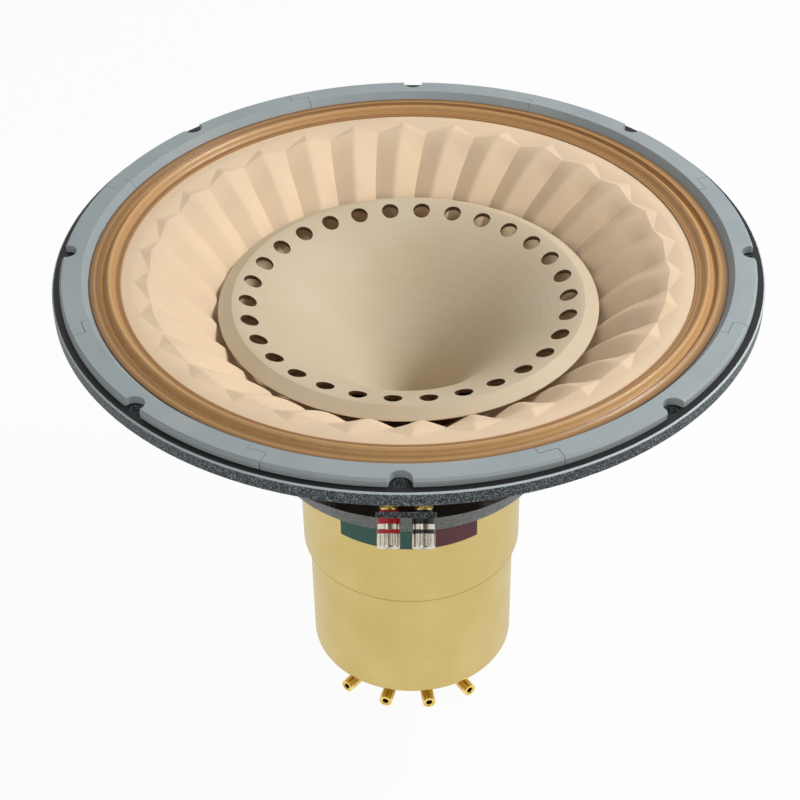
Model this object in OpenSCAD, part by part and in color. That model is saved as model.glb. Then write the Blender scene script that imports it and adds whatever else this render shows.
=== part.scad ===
// Coaxial loudspeaker driver: a 15 inch pleated paper cone with a horn tweeter
// that fires through the woofer's pole. All sizes are in millimetres.
// The origin is the centre of the mounting flange's rear face, on the speaker's
// axis. +Z points at the listener, and the front terminals face -Y.

/* [Frame] */
// Outside diameter of the mounting flange
flange_d = 390; // [380:1:400]
// Thickness of the mounting flange
flange_t = 8.5; // [7:0.5:11]
// Distance of a mounting bolt's axis from the flange's edge
bolt_edge = 7.5; // [7:0.5:8.5]
// Diameter of a mounting bolt hole
bolt_hole_d = 6.5; // [5:0.5:7.5]
// Width of the flange outside the skirt, which enters the baffle cut-out
flange_w = 20.5; // [19.5:0.5:21.5]
// Height of the skirt behind the flange
skirt_h = 14; // [10:1:18]
// Wall of the skirt
skirt_wall = 3.5; // [3:0.5:4]
// Sideways wall of the frame's arms
arm_wall = 6; // [5:0.5:7]
// Outside diameter of the frame at the lower edge of its windows
sill_d = 196; // [194:1:200]
// Depth of the windows' lower edge behind the flange's rear face
sill_depth = 97; // [95:0.5:99]
// Outside diameter of the frame's foot
foot_d = 168; // [160:1:172]
// Diameter of the hole through the foot
foot_bore_d = 104; // [100:1:106]
// Thickness of the foot
foot_t = 8; // [7:0.5:9]
// Height of the foot, from the windows' lower edge to its rear face
foot_h = 22; // [20:0.5:24]
// Width of a window at its lower edge
window_low_w = 88; // [80:1:90]
// Width of a window at its upper edge
window_top_w = 140; // [130:1:146]
// Corner radius of a window
window_corner_r = 14; // [8:0.5:18]
// Height of the beam between the skirt and the windows
window_beam = 7; // [4:0.5:12]
// Width of the ledge that carries the spider
ledge_w = 12; // [10:0.5:14]
// Thickness of that ledge
ledge_t = 6; // [4:0.5:7]

/* [Front gasket] */
// Dark rim of the flange that shows outside the gasket
gasket_inset = 4.5; // [3:0.5:5]
// Width of the gasket
gasket_w = 15.5; // [15:0.5:16.5]
// Thickness of the gasket
gasket_t = 4.5; // [3.5:0.5:6]
// Width of the gasket's sloping inner wall
gasket_slope_w = 3.5; // [2:0.5:4.5]
// Radius of the notch at each mounting bolt
notch_r = 5.8; // [5.5:0.1:6.2]
// Depth of that notch from the gasket's outer edge
notch_depth = 7.3; // [7:0.1:7.6]
// Slit between two gasket segments
gasket_slit = 0.4; // [0.3:0.1:0.6]

/* [Cone] */
// Width of the surround, lip included
surround_w = 17; // [16:0.5:18]
// Thickness of the surround's doped cloth
surround_t = 0.8; // [0.6:0.1:1]
// Height of the surround's outer roll
outer_roll_h = 1.5; // [1:0.1:2]
// Height of the surround's inner roll
inner_roll_h = 2.4; // [1.5:0.1:2.8]
// Depth of the cone's flat rim below the flange's front face
rim_sink = 2; // [1.5:0.1:2.5]
// Thickness of the cone's paper, measured along the axis
paper_t = 1.2; // [1:0.1:1.4]
// Width of the cone's flat rim, inside the surround
rim_w = 7; // [6:0.5:8]
// Number of pleats in the cone
pleats = 30; // [24:1:36]
// Depth of a pleat at the edge of the horn
pleat_depth = 6; // [4:0.5:6.5]
// How far inside the ridges' outer tips the valleys start
tip_step = 7.5; // [6:0.1:8]
// Depth below the rim at which the valleys start
tip_sink = 2.5; // [1:0.1:3.5]
// How far inside their outer tips the ridges are highest
peak_step = 7; // [5:0.1:7.5]
// Height of that highest point above the rim
peak_rise = 0.5; // [0:0.1:1]
// Slope with which the ridges leave their highest point
peak_slope = 0.4; // [0.3:0.05:0.7]
// Turn of the pleats from the rim to the horn's edge, in degrees
pleat_swirl = 4; // [0:0.5:6]
// Half of the woofer's whole travel, which the cone has free under the horn
woofer_travel = 2.5; // [2:0.1:2.5]

/* [Woofer coil] */
// Inside diameter of the woofer's voice coil former
former_d = 74.8; // [74:0.1:76]
// Wall of the former
former_wall = 0.5; // [0.4:0.1:0.6]
// Thickness of the winding on the former
winding_t = 0.9; // [0.7:0.1:1.1]
// Height of the winding
winding_h = 18; // [16:0.5:20]
// Height of the cone's neck above the ledge that carries the spider
neck_rise = 12.5; // [11:0.5:13]
// Gap between the spider's edge and the frame's wall
spider_gap = 4.5; // [3.5:0.5:6]
// Height of the spider's waves
spider_wave_h = 2.4; // [1.6:0.2:2.8]
// Thickness of the spider's cloth
spider_t = 0.8; // [0.6:0.1:1]

/* [Horn] */
// Diameter of the horn over its bevelled rim
horn_d = 213.6; // [208:0.4:215]
// Width of the bevel, seen from the front
bevel_w = 7.8; // [6:0.2:9]
// Drop of the bevel
bevel_h = 3.9; // [3:0.1:4]
// Depth of the horn's mouth behind the flange's front face
horn_sink = 24.5; // [23.5:0.1:24.6]
// Distance of the vent holes' centres from the horn's edge
vent_inset = 16.65; // [16:0.05:18]
// Diameter of a vent hole
vent_d = 10; // [8:0.5:11]
// Number of vent holes
vents = 30; // [24:1:30]
// Wall of the horn
horn_wall = 2.4; // [2:0.1:3]
// Diameter of the horn's throat
throat_d = 28; // [26:0.5:29]
// Height of the horn's small end above the foot's rear face
throat_rise = 5.5; // [4:0.5:7]

/* [Woofer magnet] */
// Gap between the pole piece and the voice coil former
pole_gap = 1.1; // [0.8:0.1:1.4]
// Thickness of the top plate
top_plate_t = 12; // [11:0.5:13]
// Outside diameter of the steel yoke and top plate
yoke_d = 129; // [127:0.5:129.5]
// Wall of the yoke
yoke_wall = 9.5; // [8:0.5:11]
// Thickness of the yoke's floor
yoke_floor_t = 11.5; // [10:0.5:13]
// Height of the pole piece
pole_h = 18; // [16:0.5:20]
// Step from the pole piece in to the magnet's core ring
core_step = 2.3; // [1:0.1:4]

/* [Covers] */
// Gap between the steel yoke and the upper cover
cover_gap = 0.5; // [0.3:0.1:1]
// Wall of both covers
cover_wall = 1.5; // [1.2:0.1:1.6]
// Height of the upper cover, from the frame's foot down
upper_cover_h = 73.2; // [71:0.1:76]
// Step from the upper cover in to the lower cover
cover_step = 3.7; // [3:0.1:4]
// Height of the lower cover that shows below the upper cover
lower_cover_h = 83.2; // [80:0.1:88]
// Radius of the lower cover's bottom corner
cover_corner_r = 2; // [1:0.25:3]
// Height of the coloured bands, from the foot down
band_h = 30.2; // [24:0.5:34]
// Thickness of the coloured bands
band_t = 0.3; // [0.2:0.1:0.4]
// Angle that the coloured bands cover together
band_angle = 73; // [60:1:84]
// Angle to the right of the front where the green band meets the maroon one
band_split = 9.5; // [-10:0.5:20]

/* [Tweeter] */
// Diameter of the tweeter's dome
dome_d = 49.6; // [49:0.2:50]
// Radius of the dome's curve
dome_curve_r = 32; // [30:0.5:36]
// Thickness of the dome's foil
foil_t = 0.4; // [0.3:0.1:0.4]
// Thickness of the tweeter's front plate
tweeter_plate_t = 8; // [7:0.5:9]
// Height of the tweeter's magnet ring
tweeter_magnet_h = 28; // [24:1:30]
// Step from the tweeter's steel plates in to its magnet ring
tweeter_magnet_step = 3; // [1:0.5:6]
// Gap between the tweeter's steel plates and the lower cover
tweeter_plate_gap = 2.3; // [1.5:0.1:4]
// Half of the tweeter's whole travel
tweeter_travel = 0.3; // [0.2:0.05:0.4]
// Height of the tweeter's back cover
back_cover_h = 22; // [19:0.5:26]
// Outside diameter of the tweeter's back cover
back_cover_d = 97; // [92:0.5:98]

/* [Rear cap] */
// Outside diameter of the rear cap
cap_d = 90; // [86:1:92]
// Height of the rear cap
cap_h = 15.6; // [15:0.2:18]
// Wall of the rear cap
cap_wall = 4; // [3.5:0.1:4.5]
// Floor of the rear cap
cap_floor_t = 2.2; // [2:0.1:2.4]
// Angle between two rear terminals
rear_post_step = 24.5; // [22:0.5:26]
// Turn of the rear terminals from the front, in degrees
rear_post_turn = -2; // [-10:0.5:10]
// Height of the rear terminals' axes above the rear cap's face
rear_post_rise = 7.5; // [7.3:0.1:7.8]
// Length of the ring behind a rear terminal knob
rear_ring_l = 1.3; // [1:0.1:2]
// Diameter of a rear terminal knob
rear_knob_d = 8; // [7.6:0.1:8.4]
// Length of a rear terminal knob
rear_knob_l = 17; // [15:0.5:18]

/* [Front terminals] */
// Distance between the two front terminals
post_pitch = 19.05; // [18.5:0.05:20]
// Distance of the front terminals' axes outside the windows' lower edge
post_offset = 7; // [6.5:0.1:8]
// Width of the frame's terminal tab
tab_w = 33; // [32:0.5:36]
// Thickness of the terminal tab
tab_t = 3.2; // [2.8:0.1:3.6]
// Lean of the terminals and their tab, away from the speaker's axis
post_lean = 45; // [40:1:48]
// Diameter of a front terminal's coloured rings
post_d = 12.8; // [12:0.1:13]
// Length of a front terminal knob
knob_l = 8.4; // [8:0.2:10]
// Height of a front terminal's insulating collar
collar_h = 3; // [2.6:0.2:4]
// Height of the plain band under the collar
post_band_h = 2.8; // [2.6:0.2:4]
// Height of the ring that the knob carries
ring_h = 2; // [1.8:0.1:3]
// Diameter of the stud in a front terminal
stud_d = 6; // [5.6:0.1:6.2]
// Diameter of the plug socket in every terminal
socket_d = 4; // [4:0.1:4.2]
// Depth of the plug socket
socket_l = 10; // [8:0.5:10]

/* [Hidden] */

$fn = 96;
bolts = 8;
windows = 6;
foot_screws = 6;
eps = 0.01;
glue = 0.15;
slip = 0.3;
running = 0.05;
post_gap = 0.2;

// Frame
flange_r = flange_d / 2;
bolt_r = flange_r - bolt_edge;
skirt_r = flange_r - flange_w;
skirt_in_r = skirt_r - skirt_wall;
sill_r = sill_d / 2;
sill_z = -sill_depth;
inner_r = sill_r - arm_wall;
ledge_r = inner_r - ledge_w;
foot_r = foot_d / 2;
foot_z = sill_z - foot_h;
edge_round = 0.8;
screw_r = 2.5;
screw_head_r = 3.6;
foot_screw_r = (foot_bore_d + yoke_d) / 4;
foot_screw_turn = 30;
foot_screw_bite = 10;

// Gasket and cone
gasket_r = flange_r - gasket_inset;
seat_r = gasket_r - gasket_w;
gasket_chamfer = 1.2;
lap_r = gasket_r - gasket_w / 2;
lap_in = 1.5;
lap_out = 1.75;
surround_r = seat_r - glue;
surround_in_r = seat_r - surround_w;
rim_lap = 2.5;
rim_z = flange_t - rim_sink;
tip_r = surround_in_r - rim_w;
valley_tip_r = tip_r - tip_step;
peak_r = tip_r - peak_step;
peak_z = rim_z + peak_rise;
valley_row_step = 0.6;
former_r = former_d / 2 + former_wall;
neck_r = former_r + glue;
neck_z = sill_z + neck_rise;
spider_r = inner_r - spider_gap;
first_ridge = 7.7;
valley_run = 14;
fade_start_r = 95;
fade_end_r = 50;

// Horn
horn_r = horn_d / 2;
horn_z = flange_t - horn_sink;
horn_edge_t = 0.5;
flat_r = horn_r - bevel_w;
vent_circle_r = horn_r - vent_inset;
throat_r = throat_d / 2;
throat_z = foot_z + throat_rise;
flare_power = 1.5;
first_vent = 1.9;
tube_r = throat_r + 2.5;
seat_collar_r = throat_r + 10;

// The cone's ridges run straight from the neck to a point under the horn's rim, which
// they pass with room for the woofer's travel, and bulge from there to their highest point
pass_z = horn_z - bevel_h - horn_edge_t - woofer_travel - slip;
ridge_slope = (pass_z - neck_z) / (horn_r - neck_r);
bulge_w = peak_r - horn_r;
ridge_bend = (peak_z - pass_z - peak_slope * bulge_w) / pow(bulge_w, 2);

// Woofer motor, from the foot down
top_plate_z = foot_z - top_plate_t;
yoke_r = yoke_d / 2;
upper_z = foot_z - upper_cover_h;
yoke_z = upper_z + cover_wall;
pole_r = former_d / 2 - pole_gap;
pole_z = foot_z - pole_h;
winding_r = former_r + winding_t;
winding_z = foot_z - top_plate_t / 2 - winding_h / 2;
air_gap = 0.5;

// Tweeter motor, from the yoke down
plate_z = yoke_z - tweeter_plate_t;
magnet_z = plate_z - tweeter_magnet_h;
gap_z = magnet_z - tweeter_plate_t;
dome_r = dome_d / 2;
dome_z = gap_z - 1.5;
dome_centre_z = dome_z + sqrt(pow(dome_curve_r, 2) - pow(dome_r, 2));
coil_t = 0.6;
coil_h = 7.5;
mouth_r = dome_r - 3.3;
plug_gap = tweeter_travel + 0.7;
roll_r = dome_r + 6.2;
lip_r = roll_r + 6.5;
clamp_t = 3;
back_z = gap_z - back_cover_h;
back_floor_t = 4;
pillar_reach = 28;
pillar_r = 4.5;
cap_screw_r = 1.9;
back_screw_r = (back_cover_d / 2 + lip_r + slip) / 2;

// Covers and rear cap
upper_r = yoke_r + cover_gap + cover_wall;
lower_r = upper_r - cover_step;
lower_z = upper_z - lower_cover_h;
tweeter_plate_r = lower_r - cover_wall - tweeter_plate_gap;
cable_hole_r = 20;
cap_r = cap_d / 2;
cap_z = lower_z - cap_h;
cap_floor_z = cap_z + cap_floor_t;
head_sink = 2.4;
rear_post_z = cap_z + rear_post_rise;
rear_stud_r = socket_d / 2 + 0.9;
rear_bush_r = rear_stud_r + 0.9;
rear_washer_r = rear_stud_r + 1.9;
rear_washer_t = 1.2;
rear_wall_gap = 0.4;
rear_ring_low = cap_r + rear_washer_t + slip;
rear_knob_low = rear_ring_low + rear_ring_l + post_gap;
rear_reach = rear_knob_low + rear_knob_l;
rear_flutes = 16;
rear_flute_r = 0.35;

// Front terminals: the tab leans out from the windows' lower edge, and heights are
// measured along the terminals from its rear face
stud_r = stud_d / 2;
post_r = post_d / 2;
post_reach = sill_r + post_offset;
post_seat_z = sill_z + post_offset * tan(post_lean);
tab_edge = 8.2;
tab_root = post_offset / cos(post_lean) + arm_wall;
barrel_r = stud_r + 1.2;
washer_r = stud_r + 2.2;
washer_t = 1.5;
lug_t = 0.8;
lug_l = 9;
nut_w = 9;
nut_t = 3.2;
post_band_z = -collar_h - post_band_h;
ring_z = post_band_z - post_gap - ring_h;
knob_z = ring_z - post_gap - knob_l;
lug_z = tab_t + washer_t;
flutes = 14;
flute_r = 0.9;
lead_r = 0.8;

// A lead runs from its solder lug to the cone, and hangs in a loose bow between them
lead_seat = [0, lug_l - 1, lug_z + lug_t + lead_r - 0.1];
lead_start = [
    post_pitch / 2,
    lead_seat.y * cos(post_lean) + lead_seat.z * sin(post_lean) - post_reach,
    post_seat_z - lead_seat.y * sin(post_lean) + lead_seat.z * cos(post_lean)
];
lead_end = [6.6, -neck_r - 6.6, ridge_line(neck_r + 6.6) - 2.4];
lead_bow = [[0, 0], [0.11, 2.9], [0.3, 3], [0.5, -1.1], [0.69, -5.6], [0.85, -6], [0.955, -2.9], [1, 0]];
lead_path = [for (b = lead_bow) lead_start + (lead_end - lead_start) * b.x + [0, 0, b.y]];

function polar(r, a) = [r * cos(a), r * sin(a)];
function clamp01(t) = max(0, min(1, t));
function ease(a, b, t) = a + (b - a) * (1 - cos(180 * t)) / 2;

// Outer radius of the frame's wall at a height
function wall_r(z) = z > -skirt_h ? skirt_r
    : z > sill_z ? sill_r + (z - sill_z) * (skirt_r - sill_r) / (sill_depth - skirt_h)
    : foot_r + (z - foot_z) * (sill_r - foot_r) / foot_h;

// An outline with each corner rounded to radius r
function rounded(p, r, steps = 6) = [
    for (i = [0:len(p) - 1])
        let (a = p[(i + len(p) - 1) % len(p)], b = p[i], c = p[(i + 1) % len(p)],
             u = (a - b) / norm(a - b), v = (c - b) / norm(c - b),
             half = acos(u * v) / 2, turn = 180 - 2 * half,
             centre = b + (u + v) / norm(u + v) * r / sin(half),
             first = b + u * r / tan(half) - centre, last = b + v * r / tan(half) - centre)
        for (k = [0:steps])
            centre + (first * sin((1 - k / steps) * turn) + last * sin(k / steps * turn)) / sin(turn)
];

// Heights of the cone's ridges and valleys at a radius
function ridge_line(r) = neck_z + ridge_slope * (r - neck_r);
function ridge_z(r) =
    let (s = peak_r - r)
    r > tip_r ? rim_z
    : s < 0 ? peak_z + peak_rise * s / peak_step
    : r > horn_r ? peak_z - peak_slope * s - ridge_bend * s * s
    : ridge_line(r);
function valley_drop(r) =
    let (first = ridge_z(valley_tip_r) - rim_z + tip_sink, run = (valley_tip_r - r) / valley_run)
    r > valley_tip_r ? 0
    : ease(first, pleat_depth, clamp01(run))
        * ease(0, 1, clamp01((r - fade_end_r) / (fade_start_r - fade_end_r)));
function swirl(r) = pleat_swirl * max(0, tip_r - r) / (tip_r - horn_r);

module ring(r_out, r_in, low, high) {
    translate([0, 0, low]) difference() {
        cylinder(r = r_out, h = high - low);
        translate([0, 0, -1]) cylinder(r = r_in, h = high - low + 2);
    }
}

module rod(r, low, high) {
    translate([0, 0, low]) cylinder(r = r, h = high - low);
}

module around(count, turn = 0) {
    for (i = [0:count - 1]) rotate(turn + i * 360 / count) children();
}

// Frame
module frame_wall() {
    foot_top = foot_z + foot_t;
    ledge_low = sill_z - ledge_t;
    rotate_extrude($fn = 180) polygon([
        [flange_r - edge_round, flange_t], [flange_r, flange_t - edge_round],
        [flange_r, edge_round], [flange_r - edge_round, 0], [skirt_r, 0], [skirt_r, -skirt_h],
        [sill_r, sill_z], [foot_r, foot_z], [foot_bore_d / 2, foot_z],
        [foot_bore_d / 2, foot_top], [wall_r(foot_top) - arm_wall, foot_top],
        [wall_r(ledge_low) - arm_wall, ledge_low], [ledge_r, ledge_low],
        [ledge_r, sill_z], [inner_r, sill_z],
        [skirt_r - arm_wall, -skirt_h], [skirt_in_r, -skirt_h + arm_wall - skirt_wall],
        [skirt_in_r, flange_t]
    ]);
}

module window() {
    low = window_low_w / 2;
    top = window_top_w / 2;
    top_z = -skirt_h - window_beam;
    outline = [[-low, sill_z], [low, sill_z], [top, top_z], [-top, top_z]];
    rotate([90, 0, 0]) linear_extrude(flange_r) polygon(rounded(outline, window_corner_r));
}

module at_tab() {
    translate([0, -post_reach, post_seat_z]) rotate([-post_lean, 0, 0]) children();
}

module terminal_tab() {
    side = tab_w / 2;
    outline = [[-side, tab_root], [-side, -tab_edge], [side, -tab_edge], [side, tab_root]];
    at_tab() linear_extrude(tab_t) polygon(rounded(outline, 1.5));
}

module basket() {
    color("dimgray") difference() {
        union() {
            difference() {
                frame_wall();
                around(windows) window();
            }
            terminal_tab();
        }
        around(bolts) translate([bolt_r, 0, -1]) cylinder(d = bolt_hole_d, h = flange_t + 2);
        at_foot_screws() rod(screw_r, foot_z - 1, foot_z + foot_t + 1);
        at_posts() rod(barrel_r, -1, tab_t + 1);
    }
}

module at_foot_screws() {
    around(foot_screws, foot_screw_turn) translate([foot_screw_r, 0, 0]) children();
}

module basket_screws() {
    head_z = foot_z + foot_t;
    head_h = 3;
    color("silver") at_foot_screws() difference() {
        union() {
            rod(screw_r, foot_z - foot_screw_bite, head_z);
            rod(screw_head_r, head_z, head_z + head_h);
        }
        translate([0, 0, head_z + head_h / 2]) cylinder(r = screw_head_r / 2, h = head_h, $fn = 6);
    }
}

// Gasket, one segment for each mounting bolt
module gasket_notch() {
    corner_r = notch_depth - notch_r;
    circle(r = notch_r);
    difference() {
        translate([0, -notch_r - corner_r]) square([2 * corner_r, 2 * (notch_r + corner_r)]);
        for (side = [-1, 1]) translate([0, side * (notch_r + corner_r)]) circle(r = corner_r);
    }
}

module front_gasket(i) {
    mid = (i - 1) * 360 / bolts;
    start = mid - 180 / bolts;
    stop = mid + 180 / bolts;
    slit = gasket_slit / 2;
    slit_a = slit / lap_r * 180 / PI;
    top = flange_t + gasket_t;
    near = seat_r * 0.9;
    far = gasket_r * 1.2;
    color("lightslategray") difference() {
        intersection() {
            rotate_extrude($fn = 180) polygon([
                [seat_r, flange_t], [gasket_r, flange_t], [gasket_r, top - gasket_chamfer],
                [gasket_r - gasket_chamfer, top], [seat_r + gasket_slope_w, top]
            ]);
            translate([0, 0, flange_t - 1]) linear_extrude(gasket_t + 2) polygon([
                polar(near, start - lap_in + slit_a), polar(lap_r - slit, start - lap_in + slit_a),
                polar(lap_r - slit, start + lap_out + slit_a), polar(far, start + lap_out + slit_a),
                polar(far, mid),
                polar(far, stop + lap_out - slit_a), polar(lap_r + slit, stop + lap_out - slit_a),
                polar(lap_r + slit, stop - lap_in - slit_a), polar(near, stop - lap_in - slit_a),
                polar(near, mid)
            ]);
        }
        rotate(mid) translate([gasket_r - notch_depth + notch_r, 0, flange_t - 1])
            linear_extrude(gasket_t + 2) gasket_notch();
    }
}

// Surround, a doped cloth ring with two rolls
module surround() {
    lip_z = flange_t + surround_t;
    low_z = rim_z + glue + surround_t;
    lap_end_r = surround_in_r + rim_lap;
    roll_w = skirt_in_r - lap_end_r;
    knots = [
        [surround_r, lip_z], [skirt_in_r + 0.5, lip_z],
        [skirt_in_r - roll_w * 0.1, flange_t + outer_roll_h],
        [skirt_in_r - roll_w * 0.31, flange_t - 0.8],
        [skirt_in_r - roll_w * 0.64, flange_t + inner_roll_h],
        [lap_end_r, low_z], [surround_in_r, low_z]
    ];
    steps = 6;
    top = [
        for (i = [0:len(knots) - 2]) for (k = [0:steps - 1])
            [knots[i].x + (knots[i + 1].x - knots[i].x) * k / steps,
             ease(knots[i].y, knots[i + 1].y, k / steps)],
        knots[len(knots) - 1]
    ];
    count = len(top);
    color("peru") rotate_extrude($fn = 180) polygon([
        for (p = top) p,
        for (i = [1:count]) top[count - i] - [0, surround_t]
    ]);
}

// Cone, a thin paper shell between ridge lines and valley lines
module cone() {
    outer_rows = [0.13, 0.32, 0.56, 0.78, 1];
    inner_rows = [0.2, 0.45, 0.7, 0.87, 1];
    rows = [
        [surround_in_r + rim_lap, surround_in_r + rim_lap], [tip_r + 0.5, tip_r + 0.5],
        [tip_r, valley_tip_r], [peak_r, valley_tip_r - valley_row_step],
        for (f = outer_rows) let (r = valley_tip_r + (horn_r - valley_tip_r) * f) [r, r],
        for (f = inner_rows) let (r = horn_r + (neck_r - horn_r) * f) [r, r]
    ];
    lines = 2 * pleats;
    count = len(rows);
    points = [
        for (drop = [0, paper_t]) for (row = rows) for (i = [0:lines - 1])
            let (valley = i % 2, r = row[valley],
                 p = polar(r, first_ridge + i * 360 / lines + swirl(r)))
            [p.x, p.y, ridge_z(r) - valley * valley_drop(r) - drop]
    ];
    under = count * lines;
    last = (count - 1) * lines;
    faces = [
        for (j = [0:count - 2]) for (i = [0:lines - 1])
            let (a = j * lines + i, b = j * lines + (i + 1) % lines, c = b + lines, d = a + lines)
            each [[a, d, c], [a, c, b], [a + under, c + under, d + under],
                  [a + under, b + under, c + under]],
        for (i = [0:lines - 1]) let (b = (i + 1) % lines)
            each [[i, b, b + under], [i, b + under, i + under],
                  [b + last, i + last, i + last + under],
                  [b + last, i + last + under, b + last + under]]
    ];
    color("wheat") polyhedron(points, faces);
}

module woofer_former() {
    color("burlywood") ring(former_r, former_d / 2, winding_z - 1, neck_z + 4);
}

module woofer_winding() {
    color("darkgoldenrod") ring(winding_r, former_r, winding_z, winding_z + winding_h);
}

// Spider, a waved cloth ring between the former and the frame's ledge
module spider() {
    wave_r = ledge_r - 1;
    rest_z = sill_z + spider_t;
    waves = 5;
    steps = 60;
    collar_r = former_r + glue;
    top = [
        for (k = [0:steps])
            [collar_r + (wave_r - collar_r) * k / steps,
             rest_z + spider_wave_h / 2 * (1 - cos(360 * waves * k / steps))],
        [spider_r, rest_z]
    ];
    color("goldenrod") rotate_extrude() polygon([
        for (p = top) p,
        for (i = [1:len(top)]) top[len(top) - i] - [0, spider_t]
    ]);
}

// A flexible lead, swept along a smooth curve through the points of its path
function curve_point(p, i, t) =
    let (a = p[max(0, i - 1)], b = p[i], c = p[i + 1], d = p[min(len(p) - 1, i + 2)])
    (2 * b + (c - a) * t + (2 * a - 5 * b + 4 * c - d) * t * t
        + (3 * b - a - 3 * c + d) * t * t * t) / 2;

module lead(path, r) {
    sides = 8;
    steps = 3;
    mid = [for (i = [0:len(path) - 2]) for (k = [0:steps - 1]) curve_point(path, i, k / steps),
           path[len(path) - 1]];
    count = len(mid);
    points = [
        for (i = [0:count - 1])
            let (along = mid[min(count - 1, i + 1)] - mid[max(0, i - 1)],
                 side = cross(along, [0, 0, 1]), u = side / norm(side),
                 up = cross(u, along), v = up / norm(up))
            for (k = [0:sides - 1]) mid[i] + r * (u * cos(k * 360 / sides) + v * sin(k * 360 / sides))
    ];
    polyhedron(points, [
        [for (k = [0:sides - 1]) k],
        for (i = [0:count - 2]) for (k = [0:sides - 1])
            let (a = i * sides + k, b = i * sides + (k + 1) % sides)
            each [[a, a + sides, b + sides], [a, b + sides, b]],
        [for (k = [0:sides - 1]) count * sides - 1 - k]
    ]);
}

module tinsel_lead_red() {
    color("peru") mirror([1, 0, 0]) lead(lead_path, lead_r);
}

module tinsel_lead_black() {
    color("peru") lead(lead_path, lead_r);
}

// Horn, a flared trumpet with a flat rim
module horn() {
    steps = 24;
    out_w = flat_r - throat_r;
    out_h = horn_z - throat_z;
    function flare(a, b, t) = [
        flat_r - a * pow(sin(90 * t), 2 / flare_power),
        throat_z + b * pow(cos(90 * t), 2 / flare_power)
    ];
    color("tan") difference() {
        rotate_extrude($fn = 180) polygon([
            [horn_r, horn_z - bevel_h], [horn_r, horn_z - bevel_h - horn_edge_t],
            for (k = [0:steps]) flare(out_w - horn_wall, out_h - horn_wall, k / steps),
            for (k = [0:steps]) flare(out_w, out_h, 1 - k / steps)
        ]);
        around(vents, first_vent) translate([vent_circle_r, 0, 0])
            rod(vent_d / 2, horn_z - bevel_h - horn_wall - 2, horn_z + 1);
    }
}

module throat_tube() {
    color("silver") {
        ring(tube_r, throat_r, plate_z, foot_z + eps);
        ring(seat_collar_r, throat_r, foot_z, throat_z);
    }
}

// Woofer motor
module woofer_top_plate() {
    color("gray") difference() {
        ring(yoke_r, winding_r + air_gap, top_plate_z, foot_z);
        at_foot_screws() rod(screw_r, foot_z - foot_screw_bite, foot_z + 1);
    }
}

module woofer_pole() {
    color("gray") ring(pole_r, tube_r, pole_z, foot_z);
}

module woofer_magnet() {
    color("darkslategray") ring(pole_r - core_step, tube_r + 1.5, yoke_z + yoke_floor_t, pole_z);
}

module woofer_yoke() {
    color("gray") {
        ring(yoke_r, yoke_r - yoke_wall, yoke_z + yoke_floor_t - eps, top_plate_z);
        ring(yoke_r, tube_r, yoke_z, yoke_z + yoke_floor_t);
    }
}

// Covers
module upper_cover() {
    color("darkkhaki") {
        ring(upper_r, upper_r - cover_wall, upper_z, foot_z);
        ring(upper_r - cover_wall / 2, lower_r, upper_z, upper_z + cover_wall);
    }
}

// A thin colour band on the upper cover, between two angles from the front
module cover_band(from, to) {
    far = 2 * upper_r;
    intersection() {
        ring(upper_r + band_t, upper_r, foot_z - band_h, foot_z);
        translate([0, 0, foot_z - band_h - 1]) linear_extrude(band_h + 2)
            polygon([[0, 0], polar(far, from - 90), polar(far, (from + to) / 2 - 90),
                     polar(far, to - 90)]);
    }
}

module green_band() {
    color("darkslategray") cover_band(-band_angle / 2, band_split);
}

module maroon_band() {
    color("#5b2a30") cover_band(band_split, band_angle / 2);
}

module lower_cover() {
    wall_in = lower_r - cover_wall;
    arc = 6;
    color("darkkhaki") difference() {
        rotate_extrude() polygon([
            [lower_r, yoke_z], [wall_in, yoke_z], [wall_in, lower_z + cover_wall],
            [cable_hole_r, lower_z + cover_wall], [cable_hole_r, lower_z],
            for (k = [0:arc]) [lower_r - cover_corner_r, lower_z + cover_corner_r]
                + polar(cover_corner_r, -90 + 90 * k / arc)
        ]);
        at_pillars() rod(cap_screw_r + 0.1, lower_z - 1, lower_z + cover_wall + 1);
    }
}

// Tweeter motor
module tweeter_front_plate() {
    color("gray") ring(tweeter_plate_r, tube_r, plate_z, yoke_z);
}

module tweeter_magnet() {
    color("darkslategray") ring(tweeter_plate_r - tweeter_magnet_step, dome_r + 7, magnet_z, plate_z);
}

module tweeter_gap_plate() {
    color("gray") difference() {
        ring(tweeter_plate_r, dome_r + coil_t + air_gap, gap_z, magnet_z);
        at_back_screws() rod(screw_r, gap_z - 1, gap_z + 5);
    }
}

// The bore that widens from the throat to the dome
module tweeter_bore() {
    rotate_extrude() polygon([
        [0, plate_z + eps], [throat_r, plate_z + eps], [throat_r, plate_z],
        [mouth_r, gap_z], [mouth_r, gap_z - dome_r], [0, gap_z - dome_r]
    ]);
}

module tweeter_pole() {
    color("gray") difference() {
        rod(dome_r - air_gap, gap_z, plate_z);
        tweeter_bore();
    }
}

module phase_plug() {
    thin = 0.3;
    cone_h = 26;
    base_h = 14;
    apex_z = gap_z + cone_h;
    rings = [0, mouth_r * 0.52, mouth_r * 0.83];
    half = mouth_r * 0.11;
    color("dimgray") intersection() {
        tweeter_bore();
        translate([0, 0, dome_centre_z]) sphere(r = dome_curve_r - foil_t - plug_gap);
        union() {
            for (r = rings) rotate_extrude() polygon([
                [max(0, r - half), dome_z - base_h], [r + half, dome_z - base_h], [r + half, dome_z],
                [r * 0.82 + thin, apex_z - r], [max(0, r * 0.82 - thin), apex_z - r],
                [max(0, r - half), dome_z]
            ]);
            for (a = [0:120:240]) rotate(a)
                translate([0, -0.7, dome_z]) cube([mouth_r, 1.4, 12]);
        }
    }
}

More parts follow.
